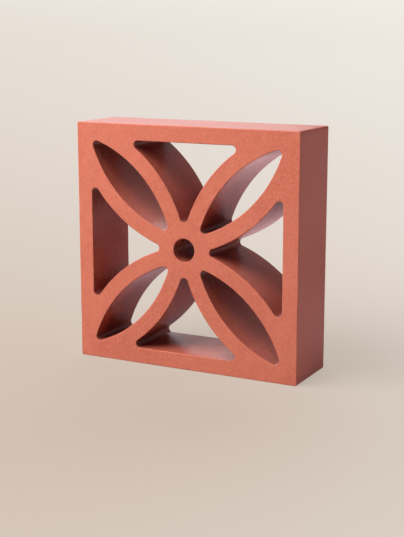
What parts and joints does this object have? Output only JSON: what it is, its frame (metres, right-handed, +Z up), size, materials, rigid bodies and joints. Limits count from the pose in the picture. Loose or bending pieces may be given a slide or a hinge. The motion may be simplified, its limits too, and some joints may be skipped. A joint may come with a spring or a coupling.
{
  "type": "breeze block",
  "caption": "Square terracotta screen block pierced by a four-petal pattern, with open spandrels against the frame and a round bore through its hub.",
  "frame": {"origin": "centre of the lower bed that the block stands on, midway between its two faces", "axes": "+Z up, +Y through the openings from the front face to the back face, +X along the wall"},
  "size_m": [0.19, 0.055, 0.19],
  "materials": {
    "clay": "matte"
  },
  "bodies": {
    "root": {"breeze_block": "clay"}
  },
  "joints": []
}
